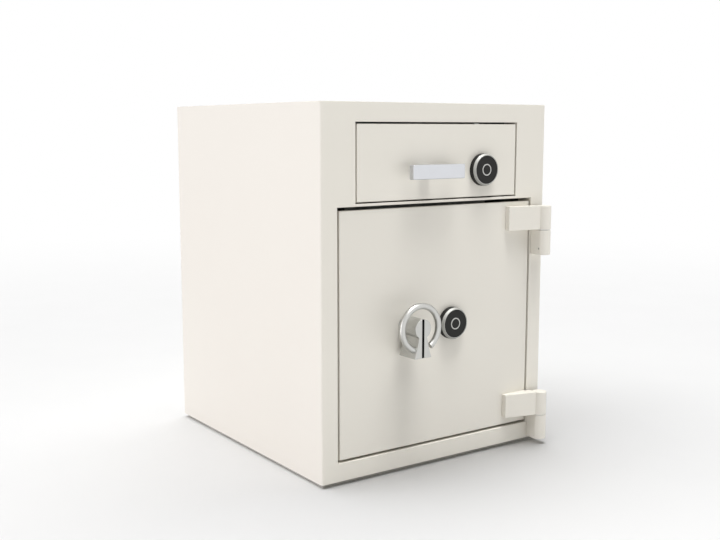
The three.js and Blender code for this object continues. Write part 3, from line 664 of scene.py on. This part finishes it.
waist_left = (handle_x - waist, handle_low.y, handle_z - waist_drop)
waist_right = (handle_x + waist, handle_low.y, handle_z - waist_drop)
knob_block = start_outline("handle_body", waist_right)
arc_about((handle_x, 0, handle_z), (0, -1, 0), 180 + 2 * waist_angle, 46)
line_through([waist_left, *flank(-1), *flank(1)[::-1], waist_right])
bpy.ops.mesh.select_all(action="SELECT")
bpy.ops.mesh.remove_doubles(threshold=weld_gap)
bpy.ops.mesh.edge_face_add()
bpy.ops.mesh.extrude_region_move(TRANSFORM_OT_translate={"value": (0, handle_high.y - handle_low.y, 0)})
bpy.ops.mesh.select_all(action="SELECT")
bpy.ops.mesh.normals_make_consistent(inside=False)
leave()
carve(knob_block, block(
    "slot_cutter",
    (handle_x - slot_width / 2, handle_low.y - beyond, handle_low.z - beyond),
    (handle_x + slot_width / 2, handle_low.y + slot_depth, handle_high.z + beyond),
))
round_edges(knob_block, block_edge, 3, 40)
smooth(knob_block, 30)
hand_over(knob_block, "handle", "satin_nickel", nickel, "handle_block")


def black_rubber(recipe):
    return {
        "Base Color": recipe.mix(recipe.noise(200), (0.002, 0.002, 0.002, 1), (0.004, 0.004, 0.004, 1)),
        "Specular IOR Level": 0.05,
        "Roughness": 0.8 + 0.1 * recipe.noise(900),
    }


strip_edge = 0.0004
strip = plate("handle_strip", "handle_inlay", strip_edge, 2)
hand_over(strip, "handle", "black_plastic", new_material("black_rubber", black_rubber), "handle_inlay")

ring_low, ring_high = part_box("handle_ring")
wire_radius = (ring_high.y - ring_low.y) / 2
ring_radius = ring_high.z - handle_z - wire_radius
ring_y = (ring_low.y + ring_high.y) / 2
ring_free_end = -58
ring_edge = 0.0006
ring_root = 270 - math.degrees(math.asin(waist / ring_radius))
bpy.ops.object.select_all(action="DESELECT")
bpy.ops.mesh.primitive_circle_add(
    vertices=32, radius=wire_radius, fill_type="NGON",
    location=(handle_x + ring_radius, ring_y, handle_z),
)
bpy.ops.object.transform_apply(location=True, rotation=True, scale=True)
ring = bpy.context.object
ring.name = "handle_hoop"
bpy.ops.object.mode_set(mode="EDIT")
bpy.ops.mesh.select_all(action="SELECT")
bpy.ops.mesh.spin(
    steps=120, angle=math.radians(ring_root - ring_free_end),
    center=(handle_x, ring_y, handle_z), axis=(0, 1, 0),
)
bpy.ops.mesh.select_all(action="SELECT")
bpy.ops.transform.rotate(
    value=math.radians(ring_free_end), orient_axis="Y",
    center_override=(handle_x, ring_y, handle_z),
)
bpy.ops.mesh.remove_doubles(threshold=weld_gap)
bpy.ops.mesh.normals_make_consistent(inside=False)
leave()
round_edges(ring, ring_edge, 3, 60)
smooth(ring, 35)
polished = new_material("polished_nickel", lambda recipe: satin_plate(recipe, 0.24))
hand_over(ring, "handle", "satin_nickel", polished, "handle_ring")

# Hinges: a knuckle welded to the frame and a leaf welded to the door, both forged and
# painted with the cabinet, on a plated pin. The upper knuckle's pin has a set screw.
barrel = 0.016
crease_degrees = 12
leaf_thickness = 0.013
leaf_edge = 0.0016
back_degrees = 45
leaf_back_setback = 0.0025
leaf_clearance = 0.003
knuckle_lean = math.radians(4)
door_low, door_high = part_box("door_plate")


def close_and_raise(height):
    """Join the outline's ends, fill it and raise it, which leaves edit mode."""
    bpy.ops.mesh.select_all(action="SELECT")
    bpy.ops.mesh.remove_doubles(threshold=weld_gap)
    bpy.ops.mesh.edge_face_add()
    bpy.ops.mesh.extrude_region_move(TRANSFORM_OT_translate={"value": (0, 0, height)})
    bpy.ops.mesh.select_all(action="SELECT")
    bpy.ops.mesh.normals_make_consistent(inside=False)
    leave()


def dress_hinge(place):
    leaf_low, leaf_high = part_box("hinge_leaf_" + place)
    knuckle_low, knuckle_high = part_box("hinge_knuckle_" + place)
    axis = Vector((leaf_high.x - barrel, leaf_low.y + barrel, leaf_low.z))
    crease = math.radians(180 + crease_degrees)
    back = math.radians(180 - back_degrees)
    step_x = door_high.x - leaf_clearance
    step_y = front - leaf_clearance
    start = Vector((leaf_low.x, leaf_high.y, axis.z))
    leaf = start_outline("hinge_arm_" + place, start)
    line_through([
        start, (leaf_low.x, door_low.y - leaf_thickness, axis.z),
        axis + barrel * Vector((math.cos(crease), math.sin(crease), 0)),
    ])
    arc_about(axis, (0, 0, 1), 360 - crease_degrees - back_degrees, 60)
    line_through([
        axis + barrel * Vector((math.cos(back), math.sin(back), 0)),
        (axis.x - barrel + leaf_back_setback, step_y, axis.z),
        (step_x, step_y, axis.z), (step_x, leaf_high.y, axis.z),
    ])
    close_and_raise(leaf_high.z - axis.z)
    round_edges(leaf, leaf_edge, 4)
    smooth(leaf, 30)
    hand_over(leaf, "door", "cream_paint", cream, "hinge_leaf_" + place)

    axis.z = knuckle_low.z
    start = Vector((knuckle_low.x, knuckle_high.y, axis.z))
    knuckle = start_outline("hinge_lug_" + place, start)
    line_through([start, axis - barrel * Vector((math.cos(knuckle_lean), math.sin(knuckle_lean), 0))])
    arc_about(axis, (0, 0, 1), 180 - math.degrees(knuckle_lean), 40)
    line_through([(axis.x + barrel, axis.y, axis.z), (axis.x + barrel, knuckle_high.y, axis.z)])
    close_and_raise(knuckle_high.z - knuckle_low.z)
    round_edges(knuckle, leaf_edge, 4)
    if place == "upper":
        screw_low, screw_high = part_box("hinge_set_screw")
        screw_z = (screw_low.z + screw_high.z) / 2
        hole_radius = (screw_high.z - screw_low.z) / 2 + fit_gap
        hole_start = (screw_low.x - beyond, axis.y, screw_z)
        carve(knuckle, rod("screw_hole", hole_radius, hole_start, (screw_high.x, axis.y, screw_z), 32))
    smooth(knuckle, 30)
    hand_over(knuckle, "cabinet", "cream_paint", cream, "hinge_knuckle_" + place)
    coat(nodes["hinge_pin_" + place], zinc)


dress_hinge("upper")
dress_hinge("lower")
coat(nodes["hinge_set_screw"], primer)

# Studio: a pale floor without an edge, white behind, and soft lamps. Four light the
# object alone, from above, the left and the front. Two light the floor alone, from
# behind, so that the object's shadow falls to the front and to both sides.
fade_start = 1.5
fade_end = 5.0


def studio_floor(recipe):
    seen = (
        recipe.node("LightPath", out="Is Camera Ray")
        + recipe.node("LightPath", out="Is Glossy Ray")
        + recipe.node("LightPath", out="Is Transmission Ray")
    )
    speckle = recipe.noise(4)
    matt = recipe.node("BsdfDiffuse", values={
        "Color": recipe.mix(speckle, (0.77, 0.77, 0.77, 1), (0.79, 0.79, 0.79, 1)),
    })
    glow = recipe.node("Emission", values={"Color": (1, 1, 1, 1), "Strength": 1.0})
    reach = recipe.node("VectorMath", {"operation": "LENGTH"}, {0: recipe.place()}, out="Value")
    fade = recipe.node("MapRange", {"interpolation_type": "SMOOTHSTEP"}, {
        "Value": reach, "From Min": fade_start, "From Max": fade_end,
    })
    mixed = recipe.node("MixShader", values={0: fade * seen, 1: matt, 2: glow})
    recipe.node("OutputMaterial", values={"Surface": mixed})


bpy.ops.object.select_all(action="DESELECT")
bpy.ops.mesh.primitive_plane_add(size=200, location=(0, 0, 0))
ground = bpy.context.object
ground.name = "studio_floor"
floor_material = bpy.data.materials.new("studio_floor")
floor_material.use_nodes = True
studio_floor(Recipe(floor_material.node_tree))
coat(ground, floor_material)

world = bpy.data.worlds.new("studio_world")
world.use_nodes = True
bpy.context.scene.world = world
sky = Recipe(world.node_tree)
white_seen = (
    sky.node("LightPath", out="Is Camera Ray")
    + sky.node("LightPath", out="Is Glossy Ray")
    + sky.node("LightPath", out="Is Transmission Ray")
)
seen_sky = sky.node("Background", values={"Color": (1, 1, 1, 1), "Strength": 1.0})
soft_sky = sky.node("Background", values={"Color": (1, 1, 1, 1), "Strength": 0.06})
sky.node("OutputWorld", values={
    "Surface": sky.node("MixShader", values={0: white_seen, 1: soft_sky, 2: seen_sky}),
})

for name, comes_from, spread, power, colour in (
    ("overhead_lamp", (0.02, -0.2, 1), 22, 2.3, (1, 1, 1)),
    ("ceiling_lamp", (0.04, -0.5, 1), 46, 0.85, (1, 1, 1)),
    ("side_lamp", (-1, 0.4, 0.02), 60, 1.7, (0.98, 0.95, 1)),
    ("front_lamp", (0.1, -1, -0.08), 100, 0.43, (1, 1, 1)),
    ("floor_lamp_left", (-0.4, 0.2, 1), 55, 2.1, (1, 1, 1)),
    ("floor_lamp_right", (0.37, 0.24, 1), 55, 1.85, (1, 1, 1)),
):
    light = bpy.data.lights.new(name, "SUN")
    light.angle = math.radians(spread)
    light.energy = power
    light.color = colour
    lamp = bpy.data.objects.new(name, light)
    bpy.context.scene.collection.objects.link(lamp)
    lamp.rotation_euler = (-Vector(comes_from)).to_track_quat("-Z", "Y").to_euler()
    aim = bpy.data.collections.new(name + "_aim")
    aim.objects.link(ground)
    if "floor" not in name:
        aim.collection_objects[0].light_linking.link_state = "EXCLUDE"
        lamp.light_linking.blocker_collection = aim
    lamp.light_linking.receiver_collection = aim

# Camera: where the photograph was taken from, looking 35 degrees round to the right of
# straight on and 8 degrees down. It was solved from the cabinet's straight edges.
camera_place = (-1.3959, -2.0199, 0.7455)
camera_yaw = math.radians(34.97)
camera_pitch = math.radians(8.0)
camera_data = bpy.data.cameras.new("photo_camera")
camera_data.lens = 50
camera_data.sensor_width = 36
camera = bpy.data.objects.new("photo_camera", camera_data)
bpy.context.scene.collection.objects.link(camera)
camera.location = camera_place
camera.rotation_euler = (math.pi / 2 - camera_pitch, 0, -camera_yaw)
bpy.context.scene.camera = camera
bpy.context.scene.view_settings.view_transform = "Standard"
